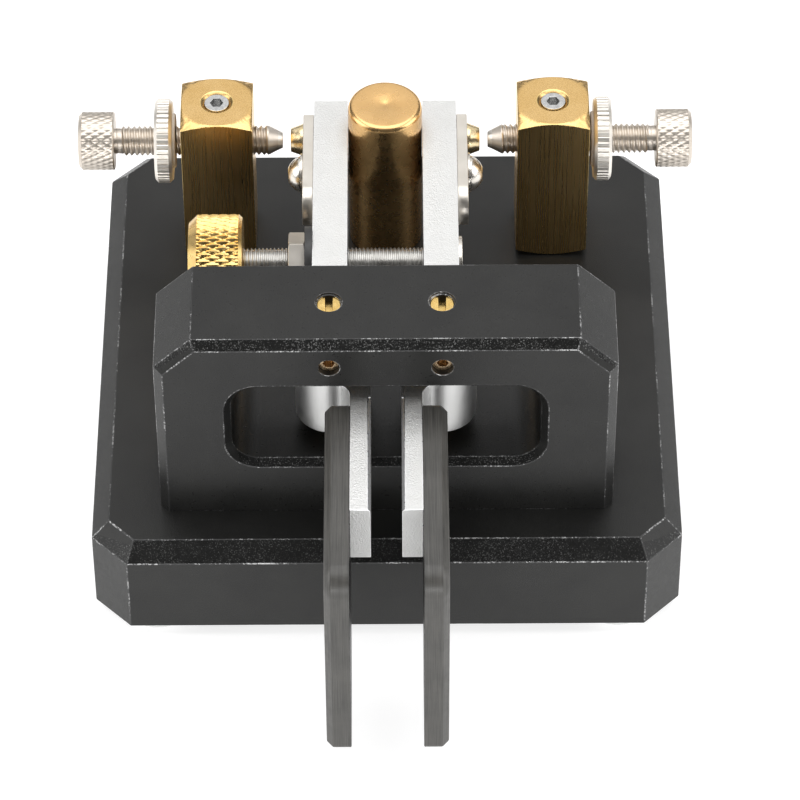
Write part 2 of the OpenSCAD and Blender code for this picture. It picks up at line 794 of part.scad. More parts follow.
module post_grub_screws() {
    end = contact_z + screw_d / 2 + 0.1;
    top = post_z + post_h - grub_recess;
    color([0.75, 0.75, 0.73]) both_sides() translate([post_x, contact_y, top])
        rotate([180, 0, 0]) grub_screw(grub_d, top - end, 1.5);
}

// Stainless screw from its bored nose to its knurled head
module contact_screw() {
    nose = tip_x + tip_len;
    color([0.74, 0.73, 0.7]) translate([nose, contact_y, contact_z]) along_x() difference() {
        union() {
            cylinder(d1 = tip_root_d, d2 = screw_d - 0.5, h = nose_taper);
            translate([0, 0, nose_taper]) cylinder(d = screw_d, h = head_x - nose - nose_taper);
            translate([0, 0, head_x - nose]) cylinder(d = head_d, h = head_len - 0.4);
            translate([0, 0, head_x + head_len - 0.4 - nose])
                cylinder(d1 = head_d, d2 = head_d - 0.8, h = 0.4);
        }
        translate([0, 0, -skin]) cylinder(d = tip_shank_d + 2 * run_clear, h = tip_shank_len + 0.2);
    }
}

module left_contact_screw() { left_side() contact_screw(); }
module right_contact_screw() { contact_screw(); }

// Silver point set in the nose of the screw
module contact_tip() {
    color([0.86, 0.86, 0.84]) translate([tip_x, contact_y, contact_z]) along_x() {
        cylinder(d1 = tip_end_d, d2 = tip_root_d, h = tip_len);
        cylinder(d = tip_shank_d, h = tip_len + tip_shank_len);
    }
}

module left_contact_tip() { left_side() contact_tip(); }
module right_contact_tip() { contact_tip(); }

// Serrated lock nut with a low hub towards the post
module lock_nut(gap) {
    color([0.76, 0.74, 0.71]) translate([post_out + gap, contact_y, contact_z]) along_x()
        difference() {
            union() {
                cylinder(d = hub_d, h = hub_len + skin);
                translate([0, 0, hub_len]) {
                    cylinder(d1 = nut_d - 0.8, d2 = nut_d, h = 0.4);
                    translate([0, 0, 0.4]) cylinder(d = nut_d, h = nut_t - 0.8);
                    translate([0, 0, nut_t - 0.4]) cylinder(d1 = nut_d, d2 = nut_d - 0.8, h = 0.4);
                }
            }
            translate([0, 0, -1]) cylinder(d = screw_d + 2 * run_clear, h = nut_t + 3);
        }
}

module left_lock_nut() { left_side() lock_nut(left_nut_gap); }
module right_lock_nut() { lock_nut(right_nut_gap); }

// Brass stop with a rounded top edge
module centre_post() {
    edge = 0.5;
    r = stop_d / 2;
    color([0.7, 0.48, 0.22]) translate([0, contact_y, base_top]) difference() {
        rotate_extrude() {
            square([r, stop_h - edge]);
            square([r - edge, stop_h]);
            intersection() {
                translate([r - edge, stop_h - edge]) circle(r = edge);
                square([r, stop_h]);
            }
        }
        translate([0, 0, -skin]) cylinder(d = stem_d + 2 * fit_clear, h = stem_reach + 1);
    }
}

module centre_post_screw() {
    seat = pocket_z - tag_t;
    color([0.7, 0.7, 0.7]) translate([0, contact_y, seat])
        cap_screw(stem_d, base_top + stem_reach - seat, stem_head_d, stem_head_h, stem_key);
}

// Threaded rod of the tension adjuster, drawn on the left-hand side
module tension_rod() {
    len = knob_x + knob_len - 0.4 + rod_end;
    color([0.72, 0.71, 0.69]) translate([rod_end, rod_y, arm_mid]) rotate([0, -90, 0])
        cylinder(d = rod_d, h = len);
}

module tension_knob() {
    collar = 1;
    color([0.86, 0.68, 0.3]) translate([-knob_x, rod_y, arm_mid]) rotate([0, -90, 0]) difference() {
        union() {
            cylinder(d1 = knob_d - 1, d2 = knob_d, h = 0.5);
            translate([0, 0, 0.5]) cylinder(d = knob_d, h = knob_len - collar - 0.5);
            translate([0, 0, knob_len - collar])
                cylinder(d1 = knob_d, d2 = knob_d - 1.6, h = collar);
        }
        translate([0, 0, -1]) cylinder(d = rod_d, h = knob_len - 0.4 + 1);
    }
}

module tension_nut() {
    far_r = rod_nut_af * 0.6;
    flat_r = far_r - 2.5 * rod_nut_chamfer;
    color([0.76, 0.76, 0.74]) translate([-rod_nut_x, rod_y, arm_mid])
        rotate([rod_nut_turned, 0, 0]) rotate([0, -90, 0]) difference() {
            intersection() {
                cylinder(d = rod_nut_af / cos(30), h = rod_nut_t, $fn = 6);
                rotate_extrude() polygon([[0, 0], [flat_r, 0], [far_r, rod_nut_chamfer],
                    [far_r, rod_nut_t - rod_nut_chamfer], [flat_r, rod_nut_t],
                    [0, rod_nut_t]]);
            }
            translate([0, 0, -1]) cylinder(d = rod_d + 2 * run_clear, h = rod_nut_t + 2);
        }
}

module tension_washer() {
    color([0.12, 0.12, 0.12]) translate([-arm_out, rod_y, arm_mid]) rotate([0, -90, 0])
        difference() {
            cylinder(d = rod_washer_d, h = rod_washer_t);
            translate([0, 0, -1]) cylinder(d = rod_d + 2 * run_clear, h = rod_washer_t + 2);
        }
}

module rod_magnet() {
    color([0.8, 0.8, 0.8]) translate([rod_end, rod_y, arm_mid]) along_x()
        cylinder(d = rod_magnet_d, h = rod_magnet_t);
}

module arm_magnet() {
    color([0.8, 0.8, 0.8]) translate([arm_magnet_in, rod_y, arm_mid]) along_x()
        cylinder(d = magnet_d, h = arm_magnet_t);
}

// Panel socket: body in the pocket, threaded bush through the rear wall
module jack_socket() {
    color([0.12, 0.12, 0.12]) difference() {
        union() {
            translate([-jack_body[0] / 2, pocket_rear - jack_body[1], jack_z - jack_body[2] / 2])
                cube(jack_body);
            translate([0, pocket_rear - skin, jack_z]) along_y()
                cylinder(d = jack_bush_d, h = jack_end - pocket_rear + skin);
        }
        translate([0, jack_end - plug_depth, jack_z]) along_y() cylinder(d = plug_bore, h = far);
    }
}

module jack_nut() {
    color([0.78, 0.78, 0.78]) translate([0, base_d / 2, jack_z]) along_y() difference() {
        cylinder(d = jack_nut_d, h = jack_nut_t);
        translate([0, 0, -1]) cylinder(d = jack_bush_d + 2 * fit_clear, h = jack_nut_t + 2);
        for (a = [0, 90]) rotate(a) translate([-far / 2, -0.5, jack_nut_t - 0.7])
            cube([far, 1, 1]);
    }
}

// Ring tag under a screw head, with a tail towards the socket
module solder_tag() {
    difference() {
        union() {
            cylinder(d = stem_head_d + 0.6, h = tag_t);
            translate([-tag_w / 2, 0, 0]) cube([tag_w, tag_tail, tag_t]);
        }
        translate([0, 0, -1]) cylinder(d = stem_d + 2 * fit_clear, h = 3);
    }
}

module solder_tags() {
    color([0.8, 0.76, 0.62]) {
        both_sides() translate([post_x, contact_y, post_tag_z]) solder_tag();
        translate([0, contact_y, pocket_z - tag_t]) rotate(180) solder_tag();
    }
}

// Wires swept along their paths
function heading(path, i) = let (
    a = path[max(i - 1, 0)], b = path[min(i + 1, len(path) - 1)]) (b - a) / norm(b - a);
function ring(p, t, d) = let (across = cross([0, 0, 1], t), u = across / norm(across),
    v = cross(t, u))
    [for (k = [0 : wire_sides - 1]) let (a = 360 * k / wire_sides)
        p + d / 2 * (cos(a) * u + sin(a) * v)];

module wire(path, d) {
    n = len(path);
    points = [for (i = [0 : n - 1]) each ring(path[i], heading(path, i), d)];
    walls = [for (i = [0 : n - 2], k = [0 : wire_sides - 1]) let (m = (k + 1) % wire_sides)
        [i * wire_sides + k, (i + 1) * wire_sides + k,
            (i + 1) * wire_sides + m, i * wire_sides + m]];
    first = [for (k = [0 : wire_sides - 1]) k];
    last = [for (k = [wire_sides - 1 : -1 : 0]) (n - 1) * wire_sides + k];
    polyhedron(points, concat(walls, [first], [last]));
}

module jack_wires() {
    color([0.7, 0.12, 0.1]) {
        both_sides() wire(side_wire, wire_d);
        wire(earth_wire, wire_d);
    }
}

seated() base();
seated() base_cover();
seated() base_cover_screws();
seated() feet();
seated() bridge();
seated() bridge_screws();
seated() pivot_screws();
seated() lower_pivot_pins();
seated() pivot_lock_screws();
seated() left_arm();
seated() right_arm();
seated() left_arm_bearings();
seated() right_arm_bearings();
seated() left_paddle();
seated() right_paddle();
seated() left_paddle_screws();
seated() right_paddle_screws();
seated() left_contact_plate();
seated() right_contact_plate();
seated() left_arm_contact();
seated() right_arm_contact();
seated() left_plate_washer();
seated() right_plate_washer();
seated() left_plate_screw();
seated() right_plate_screw();
seated() left_post();
seated() right_post();
seated() post_washers();
seated() post_bushes();
seated() post_screws();
seated() post_grub_screws();
seated() left_contact_screw();
seated() right_contact_screw();
seated() left_contact_tip();
seated() right_contact_tip();
seated() left_lock_nut();
seated() right_lock_nut();
seated() centre_post();
seated() centre_post_screw();
seated() tension_rod();
seated() tension_knob();
seated() tension_nut();
seated() tension_washer();
seated() rod_magnet();
seated() arm_magnet();
seated() jack_socket();
seated() jack_nut();
seated() solder_tags();
seated() jack_wires();
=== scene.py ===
import math

import bmesh
import bpy
from mathutils import Matrix, Vector


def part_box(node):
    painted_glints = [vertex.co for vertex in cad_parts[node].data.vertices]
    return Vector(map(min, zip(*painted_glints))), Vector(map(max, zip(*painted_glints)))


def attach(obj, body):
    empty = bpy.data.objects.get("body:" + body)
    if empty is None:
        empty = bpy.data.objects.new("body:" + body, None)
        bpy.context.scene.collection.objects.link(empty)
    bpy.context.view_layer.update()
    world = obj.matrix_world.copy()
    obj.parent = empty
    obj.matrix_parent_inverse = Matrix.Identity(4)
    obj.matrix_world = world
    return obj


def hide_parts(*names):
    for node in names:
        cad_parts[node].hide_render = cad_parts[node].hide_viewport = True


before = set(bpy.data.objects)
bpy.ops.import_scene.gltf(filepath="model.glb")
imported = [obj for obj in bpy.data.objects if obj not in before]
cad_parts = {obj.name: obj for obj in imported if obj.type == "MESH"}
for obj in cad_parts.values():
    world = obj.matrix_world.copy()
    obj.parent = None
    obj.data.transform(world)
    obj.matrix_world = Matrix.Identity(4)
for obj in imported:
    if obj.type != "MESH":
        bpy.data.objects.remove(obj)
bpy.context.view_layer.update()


# --- Base block -------------------------------------------------------------------------
# A heavy steel block, milled square with cut corners and a bevelled top, blasted and
# coated satin black. The coat is worn through to bare metal on some sharp edges, and the
# front and rear bevels carry painted shade and painted glints in their colour.

MM = 0.001


class Socket:
    """A node's output. Python's operators on it add Math nodes."""

    def __init__(self, tree, socket=None):
        self.tree = tree
        self.socket = socket

    def node(self, kind, settings=(), output=0, **sockets):
        """Adds a node, gives it its settings and then its inputs, and returns one output.

        An input goes by its name, with _ for a space, or by its number, as in _6.
        """
        made = self.tree.nodes.new(kind)
        for name, value in dict(settings).items():
            setattr(made, name, value)
        for name, value in sockets.items():
            place = int(name[1:]) if name[1:].isdigit() else name.replace("_", " ")
            target = made.inputs[place]
            if isinstance(value, Socket):
                self.tree.links.new(value.socket, target)
            else:
                target.default_value = value
        return Socket(self.tree, made.outputs[output]) if made.outputs else None

    def maths(self, operation, *others):
        """Adds a Math node with this value first and the others after it."""
        return self.node("ShaderNodeMath", {"operation": operation},
                         **{f"_{i}": term for i, term in enumerate((self, *others))})

    def __add__(self, other):
        return self.maths("ADD", other)

    def __radd__(self, other):
        return self.maths("ADD", other)

    def __sub__(self, other):
        return self.maths("SUBTRACT", other)

    def __rsub__(self, other):
        return self.maths("MULTIPLY", -1.0).maths("ADD", other)

    def __mul__(self, other):
        return self.maths("MULTIPLY", other)

    def __rmul__(self, other):
        return self.maths("MULTIPLY", other)

    def __truediv__(self, other):
        return self.maths("DIVIDE", other)

    def __gt__(self, other):
        return self.maths("GREATER_THAN", other)

    def __lt__(self, other):
        return self.maths("LESS_THAN", other)

    def __abs__(self):
        return self.maths("ABSOLUTE")

    def held(self, low=0.0, high=1.0):
        """This value kept between two others."""
        return self.maths("MAXIMUM", low).maths("MINIMUM", high)


def object_place(shade):
    return shade.node("ShaderNodeTexCoord", output="Object")


def noise(shade, place, size, detail=2.0, rough=0.5):
    """Noise from 0 to 1 whose lumps are about the given size in millimetres."""
    return shade.node("ShaderNodeTexNoise", Vector=place, Scale=1 / (size * MM),
                      Detail=detail, Roughness=rough)


def spread(shade, value, low, high):
    """Takes noise, which keeps to the middle of its range, to values from low to high."""
    return shade.node("ShaderNodeMapRange", Value=value, From_Min=0.3, From_Max=0.7,
                      To_Min=low, To_Max=high)


def blend_colours(shade, share, first, second):
    """The first colour where the share is 0 and the second where it is 1."""
    ends = [colour if isinstance(colour, Socket) else (*colour, 1) for colour in (first, second)]
    return shade.node("ShaderNodeMix", {"data_type": "RGBA"}, output=2,
                      _0=share, _6=ends[0], _7=ends[1])


def lean(shade, axis):
    """How far a face looks along X, Y or Z, from 0 to 1."""
    normal = shade.node("ShaderNodeNewGeometry", output="Normal")
    return abs(shade.node("ShaderNodeSeparateXYZ", Vector=normal, output=axis))


def slanting(shade):
    """1 on faces that look about 45 degrees up or down, as bevels do."""
    upward = lean(shade, 2)
    return (upward > 0.5) * (upward < 0.87)


def finish(name, colour, rough, metallic=0.0, bump=None, depth=0.01, **constants):
    """A Principled material. Colour and rough are functions of its node tree, or plain."""
    material = bpy.data.materials.new(name)
    material.use_nodes = True
    tree = material.node_tree
    tree.nodes.clear()
    shade = Socket(tree)
    sockets = {"Base_Color": colour(shade) if callable(colour) else (*colour, 1),
               "Roughness": rough(shade) if callable(rough) else rough,
               "Metallic": metallic(shade) if callable(metallic) else metallic}
    if bump:
        sockets["Normal"] = shade.node("ShaderNodeBump", Height=bump(shade),
                                       Distance=depth * MM, Strength=1.0)
    surface = shade.node("ShaderNodeBsdfPrincipled", **sockets, **constants)
    shade.node("ShaderNodeOutputMaterial", Surface=surface)
    return material


def clean_mesh(node):
    """The CAD node's loose triangles as joined, flat faces."""
    work = bmesh.new()
    work.from_mesh(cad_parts[node].data)
    bmesh.ops.remove_doubles(work, verts=work.verts, dist=0.0005 * MM)
    bmesh.ops.dissolve_limit(work, angle_limit=math.radians(0.4), verts=work.verts,
                             edges=work.edges, delimit={"NORMAL"})
    mesh = bpy.data.meshes.new(node)
    # Only the faces are copied, so that no stored normals or seams come with them.
    plain = bmesh.new()
    spots = [plain.verts.new(v.co) for v in work.verts]
    for face in work.faces:
        plain.faces.new([spots[v.index] for v in face.verts])
    plain.to_mesh(mesh)
    plain.free()
    work.free()
    return mesh


def applied(piece):
    """Turns the piece's modifiers into mesh."""
    graph = bpy.context.evaluated_depsgraph_get()
    mesh = bpy.data.meshes.new_from_object(piece.evaluated_get(graph), depsgraph=graph)
    piece.modifiers.clear()
    piece.data = mesh


def smooth(mesh, angle=32):
    for face in mesh.polygons:
        face.use_smooth = True
    mesh.set_sharp_from_angle(angle=math.radians(angle))


def edged(node, body, material, edge=None, width=0.1, angle=28, segments=2, cut=None):
    """The CAD node's shape with its sharp edges broken, as a deburred part has."""
    mesh = clean_mesh(node)
    if cut:
        cut(mesh)
    mesh.materials.append(material)
    if edge:
        mesh.materials.append(edge)
    piece = bpy.data.objects.new(node + "_finished", mesh)
    bpy.context.scene.collection.objects.link(piece)
    bevel = piece.modifiers.new("broken edges", "BEVEL")
    bevel.width = width * MM
    bevel.segments = segments
    bevel.limit_method = "ANGLE"
    bevel.angle_limit = math.radians(angle)
    bevel.use_clamp_overlap = False
    bevel.material = 1 if edge else -1
    applied(piece)
    smooth(piece.data)
    evened = piece.modifiers.new("flat faces kept flat", "WEIGHTED_NORMAL")
    evened.weight = 100
    evened.keep_sharp = True
    applied(piece)
    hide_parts(node)
    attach(piece, body)
    return piece


def coat_colour(shade, glint):
    """Black, with painted shade and painted glints on the front and rear bevels."""
    mottle = spread(shade, noise(shade, object_place(shade), 6.0), 0.0, 1.0)
    coat = blend_colours(shade, mottle, (0.013, 0.013, 0.0125), (0.018, 0.018, 0.017))
    bevels = slanting(shade) * (lean(shade, 1) > 0.5)
    # The front and rear bevels are blended towards near black: painted shade.
    painted_shade_bevels = blend_colours(shade, bevels * 0.65, coat, (0.002, 0.002, 0.002))
    grains = noise(shade, object_place(shade), 0.17, 2.0, 0.65)
    fields = noise(shade, object_place(shade), 4.0)
    # Bright specks on the front and rear bevels are painted glints, not bare metal.
    painted_glints = ((grains + fields * 0.2 - 0.675) * 9).held() * bevels * glint
    return blend_colours(shade, painted_glints, painted_shade_bevels, (0.5, 0.5, 0.49))


def coat_rough(shade):
    return spread(shade, noise(shade, object_place(shade), 0.5), 0.30, 0.40)


def blasted(shade):
    return noise(shade, object_place(shade), 0.16, 3.0, 0.7)


def worn_metal(shade):
    """Where the coat is gone from an edge: short broken runs along it."""
    spots = noise(shade, object_place(shade), 0.3, 4.0, 0.75)
    runs = noise(shade, object_place(shade), 5.0)
    return ((spots + runs * 0.6 - 0.83) * 9).held() * 0.8


base_coat = finish("black coat", lambda shade: coat_colour(shade, 0.16), coat_rough,
                   bump=blasted, depth=0.03, Specular_IOR_Level=0.3)
edge_coat = finish(
    "worn coat", lambda shade: blend_colours(shade, worn_metal(shade), (0.02,) * 3, (0.5,) * 3),
    0.34, metallic=worn_metal, bump=blasted, depth=0.03)
edged("base", "base", base_coat, edge_coat, width=0.12)


# --- Feet -------------------------------------------------------------------------------
# Four self-adhesive bumpers of clear polyurethane, moulded with a rounded rim. They are
# stuck to the underside near its corners, and their soles are slightly matt from the table.

def speckle(dark, light, size):
    """A colour that drifts between two shades."""
    return lambda shade: blend_colours(
        shade, spread(shade, noise(shade, object_place(shade), size), 0.0, 1.0), dark, light)


def paint(node, material):
    """Gives a CAD node that stays as it is a finish of its own."""
    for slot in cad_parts[node].material_slots:
        slot.material = material


paint("feet", finish("clear bumper", speckle((0.62, 0.63, 0.62), (0.7, 0.71, 0.7), 2.0), 0.28,
                     Transmission_Weight=0.35, IOR=1.49))


# --- Wiring cover -----------------------------------------------------------------------
# A flat plate of black laminate let into the underside over the wiring pocket. Four small
# countersunk screws of zinc-plated steel hold it.

def uneven(low, high, size):
    """A roughness that drifts between two values."""
    return lambda shade: spread(shade, noise(shade, object_place(shade), size), low, high)


def grain(size, detail=2.0, rough=0.5):
    return lambda shade: noise(shade, object_place(shade), size, detail, rough)


zinc = finish("zinc plate", speckle((0.56, 0.57, 0.58), (0.68, 0.68, 0.67), 1.2),
              uneven(0.22, 0.36, 0.6), 1.0, bump=grain(0.3), depth=0.004)
paint("base_cover", finish("cover sheet", speckle((0.018,) * 3, (0.03,) * 3, 1.5),
                           uneven(0.45, 0.6, 1.0), bump=grain(0.25), depth=0.01))
edged("base_cover_screws", "base", zinc, width=0.05)


# --- Bridge -----------------------------------------------------------------------------
# A milled and black anodised block that carries both pivots. The rounded window lets the
# arms through. Two cap screws from under the base hold it.

bridge_coat = finish("bridge anodising", lambda shade: coat_colour(shade, 0.3),
                     uneven(0.27, 0.36, 0.5), bump=blasted, depth=0.025,
                     Specular_IOR_Level=0.3)
bridge = edged("bridge", "base", bridge_coat, edge_coat, width=0.1)
edged("bridge_screws", "base", zinc, width=0.06)

# The countersinks of the two front holes were cut after the block was coated.
bridge.data.materials.append(finish(
    "cut countersink", speckle((0.55,) * 3, (0.7,) * 3, 0.5), uneven(0.3, 0.4, 0.3), 1.0))
lock_low, lock_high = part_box("pivot_lock_screws")
sink_reach = 1.75 * MM
lock_height = (lock_low.z + lock_high.z) / 2
lock_spots = [lock_low.x + (lock_high.z - lock_low.z) / 2,
              lock_high.x - (lock_high.z - lock_low.z) / 2]
for face in bridge.data.polygons:
    for lock_x in lock_spots:
        off_axis = math.hypot(face.center.x - lock_x, face.center.z - lock_height)
        if off_axis < sink_reach and -0.9 < face.normal.y < -0.3:
            face.material_index = 2


# --- Pivots -----------------------------------------------------------------------------
# Slotted brass screws in the top of the bridge and plain brass pins under the arms hold
# the bearings between them. A grub screw from the front locks each screw.

screw_brass = finish("screw brass", speckle((0.78, 0.52, 0.17), (0.88, 0.63, 0.24), 0.8),
                     uneven(0.16, 0.28, 0.5), 1.0, bump=grain(0.2), depth=0.003)
edged("pivot_screws", "base", screw_brass, width=0.09)
paint("lower_pivot_pins", screw_brass)

bronze = finish("bronzed steel", speckle((0.5, 0.36, 0.22), (0.62, 0.47, 0.3), 0.6),
                uneven(0.24, 0.36, 0.4), 1.0, bump=grain(0.2), depth=0.003)
edged("pivot_lock_screws", "base", bronze, width=0.08)


# --- Arms -------------------------------------------------------------------------------
# Each lever is milled from aluminium, bead blasted and clear anodised. The round boss
# keeps the fine upright marks of its cutter, and the edges are lightly broken.

def middle(node):
    low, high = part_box(node)
    return (low + high) / 2


def boss_share(shade):
    """1 on the bosses round the two pivots, 0 on the rest of the arms."""
    boss_reach = 4.7 * MM
    pivots = [middle(side + "_arm_bearings") for side in ("left", "right")]
    place = object_place(shade)
    x = shade.node("ShaderNodeSeparateXYZ", Vector=place, output=0)
    y = shade.node("ShaderNodeSeparateXYZ", Vector=place, output=1)
    shares = []
    for pivot in pivots:
        dx = x - pivot.x
        dy = y - pivot.y
        shares.append((dx * dx + dy * dy).maths("SQRT") < boss_reach)
    return shares[0].maths("MAXIMUM", shares[1])


def stretched(shade, scale):
    """Object coordinates multiplied along each axis, for grain that runs one way."""
    return shade.node("ShaderNodeMapping", Vector=object_place(shade), Scale=scale)


def cutter_marks(shade):
    return noise(shade, stretched(shade, (1, 1, 0.02)), 0.14, 3.0, 0.8)


def arm_bump(shade):
    share = boss_share(shade)
    beads = noise(shade, object_place(shade), 0.17, 1.0, 0.6)
    return beads * (1 - share) + cutter_marks(shade) * 0.15 * share


def arm_rough(shade):
    share = boss_share(shade)
    return spread(shade, noise(shade, object_place(shade), 1.0), 0.5, 0.57) - share * 0.1


def alloy_colour(shade):
    """Pale grey, and a darker grey on sloping faces such as bevels: painted shade."""
    blasted_face = speckle((0.7, 0.7, 0.69), (0.72, 0.72, 0.71), 3.0)(shade)
    return blend_colours(shade, slanting(shade), blasted_face, (0.4, 0.4, 0.41))


alloy = finish("blasted aluminium", alloy_colour, arm_rough, 1.0, bump=arm_bump, depth=0.07)
alloy_edge = finish("arm edge", speckle((0.85,) * 3, (0.93,) * 3, 0.4), uneven(0.25, 0.4, 0.4),
                    1.0, bump=grain(0.2), depth=0.006)
bridge_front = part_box("bridge")[0].y
inner_bevel = 0.45 * MM


def bevel_inner_edge(mesh):
    """Takes the corner off the inner top edge of an arm where it runs ahead of the bridge."""
    work = bmesh.new()
    work.from_mesh(mesh)
    work.normal_update()
    picked = []
    for edge in work.edges:
        tops = [face for face in edge.link_faces if face.normal.z > 0.99]
        sides = [face for face in edge.link_faces if abs(face.normal.x) > 0.99]
        front_end = min(edge.verts, key=lambda vert: vert.co.y).co
        if tops and sides and front_end.y < bridge_front:
            if sides[0].normal.x * front_end.x < 0:
                picked.append(edge)
    bmesh.ops.bevel(work, geom=picked, offset=inner_bevel, segments=1, affect="EDGES",
                    clamp_overlap=True)
    work.to_mesh(mesh)
    work.free()


for side in ("left", "right"):
    edged(side + "_arm", side + "_arm", alloy, alloy_edge, width=0.09,
          cut=bevel_inner_edge)


# --- Arm bearings -----------------------------------------------------------------------
# Two small shielded ball bearings in each boss, pressed in from above and below. Their
# ground rings and pressed shields are bright steel.

bearing_steel = finish("ground steel", speckle((0.56,) * 3, (0.68,) * 3, 0.7),
                       uneven(0.14, 0.24, 0.4), 1.0, bump=grain(0.2), depth=0.002)
for side in ("left", "right"):
    paint(side + "_arm_bearings", bearing_steel)


# --- Finger plates ----------------------------------------------------------------------
# Sawn from black laminate and screwed to the outside of the arms. The faces are black and
# satin, and the sawn edges are grey with the layers as fine lines along the plate.

def layers(shade):
    """Thin sheets lying flat in the plate, seen as lines on its sawn edges."""
    return noise(shade, stretched(shade, (1, 0.01, 0.01)), 0.1, 3.0, 0.8)


def saw_marks(shade):
    return noise(shade, stretched(shade, (0.1, 1, 1)), 0.35, 3.0, 0.7)


def laminate_colour(shade):
    lines = spread(shade, layers(shade), 0.0, 1.0)
    patches = spread(shade, noise(shade, object_place(shade), 5.0), -0.12, 0.12)
    sawn = blend_colours(shade, (lines + patches).held(), (0.026, 0.025, 0.023),
                         (0.098, 0.094, 0.086))
    return blend_colours(shade, lean(shade, 0) > 0.9, sawn, (0.02, 0.02, 0.019))


def laminate_bump(shade):
    return layers(shade) * 0.8 + saw_marks(shade) * 0.4


laminate = finish("laminate edge", laminate_colour, uneven(0.34, 0.46, 0.8),
                  bump=laminate_bump, depth=0.016)
for side in ("left", "right"):
    edged(side + "_paddle", side + "_arm", laminate, width=0.12, angle=20)

oxide = finish("black oxide", speckle((0.02,) * 3, (0.045,) * 3, 0.8), uneven(0.25, 0.4, 0.5),
               0.6, bump=grain(0.2), depth=0.004)
for side in ("left", "right"):
    edged(side + "_paddle_screws", side + "_arm", oxide, width=0.05)


# --- Arm contacts -----------------------------------------------------------------------
# A satin nickel-plated strip lies against each arm under a washer and a button-head
# screw. The brass stud at its rear end meets the contact screw.

plate_nickel = finish("satin nickel strip", speckle((0.64, 0.6, 0.54), (0.72, 0.68, 0.62), 3.0),
                      uneven(0.3, 0.38, 2.0), 1.0)
nickel = finish("nickel plate", speckle((0.7, 0.66, 0.6), (0.78, 0.74, 0.68), 1.5),
                uneven(0.22, 0.3, 1.0), 1.0)
stud_brass = finish("stud brass", speckle((0.78, 0.62, 0.36), (0.86, 0.71, 0.45), 1.0),
                    uneven(0.2, 0.3, 0.8), 1.0)
for side in ("left", "right"):
    edged(side + "_contact_plate", side + "_arm", plate_nickel, width=0.1)
    edged(side + "_arm_contact", side + "_arm", stud_brass, width=0.06)
    edged(side + "_plate_washer", side + "_arm", nickel, width=0.05)
    edged(side + "_plate_screw", side + "_arm", nickel, width=0.07)


# --- Posts ------------------------------------------------------------------------------
# Square brass bar with both ends turned to a cone, drawn finish on the sides. A grub
# screw in the countersunk top locks the contact screw.

def drawn_grain(shade):
    return noise(shade, stretched(shade, (1, 1, 0.012)), 0.2, 1.0, 0.5)


def post_colour(shade):
    streaks = spread(shade, drawn_grain(shade), 0.0, 1.0)
    tarnish = spread(shade, noise(shade, object_place(shade), 5.0, 2.0, 0.5), 0.0, 1.0)
    return blend_colours(shade, streaks * 0.35 + tarnish * 0.65, (0.70, 0.45, 0.17),
                         (0.82, 0.56, 0.25))


def post_rough(shade):
    return spread(shade, drawn_grain(shade), 0.26, 0.3)


post_brass = finish("drawn brass", post_colour, post_rough, 1.0,
                    bump=drawn_grain, depth=0.0008)
post_edge = finish("post edge", speckle((0.82, 0.58, 0.22), (0.9, 0.68, 0.3), 0.5),
                   uneven(0.2, 0.3, 0.4), 1.0, bump=grain(0.2), depth=0.004)
for side in ("left", "right"):
    edged(side + "_post", "base", post_brass, post_edge, width=0.06)

steel = finish("plain steel", speckle((0.5, 0.5, 0.5), (0.66, 0.66, 0.65), 0.6),
               uneven(0.2, 0.34, 0.4), 1.0, bump=grain(0.2), depth=0.004)
edged("post_grub_screws", "base", steel, width=0.07)
edged("post_screws", "base", zinc, width=0.06)
paint("post_washers", finish("nylon washer", speckle((0.02,) * 3, (0.03,) * 3, 1.0),
                             uneven(0.4, 0.5, 0.8), bump=grain(0.3), depth=0.004))
paint("post_bushes", finish("white nylon", speckle((0.76, 0.76, 0.72), (0.84, 0.84, 0.8), 1.0),
                            uneven(0.4, 0.5, 0.8), bump=grain(0.3), depth=0.004))


# --- Contact screws ---------------------------------------------------------------------
# Stainless screws with a 0.7 mm thread and a diamond-knurled head, turned from one piece.
# The nose is coned and carries a silver point, and a plain neck joins thread and head.

def geometry_tree(name, **inputs):
    """A Geometry Nodes tree with named number inputs and a material input."""
    tree = bpy.data.node_groups.new(name, "GeometryNodeTree")
    tree.interface.new_socket("Geometry", in_out="OUTPUT", socket_type="NodeSocketGeometry")
    for label, kind in {**inputs, "Material": "Material"}.items():
        tree.interface.new_socket(label, in_out="INPUT", socket_type="NodeSocket" + kind)
    start = tree.nodes.new("NodeGroupInput")
    return Socket(tree), {label: Socket(tree, start.outputs[label])
                          for label in (*inputs, "Material")}


def deliver(build, geometry, material):
    """Ends a tree: the instances made real, then the material set."""
    real = build.node("GeometryNodeRealizeInstances", Geometry=geometry)
    dressed = build.node("GeometryNodeSetMaterial", Geometry=real, Material=material)
    build.node("NodeGroupOutput", Geometry=dressed)


def grown(tree, name, **sizes):
    """The mesh that a tree makes with these sizes."""
    holder = bpy.data.objects.new(name, bpy.data.meshes.new(name))
    bpy.context.scene.collection.objects.link(holder)
    nodes = holder.modifiers.new("shape", "NODES")
    nodes.node_group = tree
    for item in tree.interface.items_tree:
        if item.in_out == "INPUT" and item.name in sizes:
            nodes[item.identifier] = sizes[item.name]
    applied(holder)
    mesh = holder.data
    bpy.data.objects.remove(holder)
    return mesh


def wrapped_grid(build, columns, rows):
    """A grid to be rolled up: its mesh, the share of a turn, and the row number."""
    grid = build.node("GeometryNodeMeshGrid", Size_X=1.0, Size_Y=1.0,
                      Vertices_X=columns, Vertices_Y=rows)
    place = build.node("GeometryNodeInputPosition")
    turn = build.node("ShaderNodeSeparateXYZ", Vector=place, output=0) + 0.5
    share = build.node("ShaderNodeSeparateXYZ", Vector=place, output=1) + 0.5
    row = (share * (rows - 1)).maths("ROUND")
    return grid, turn, row


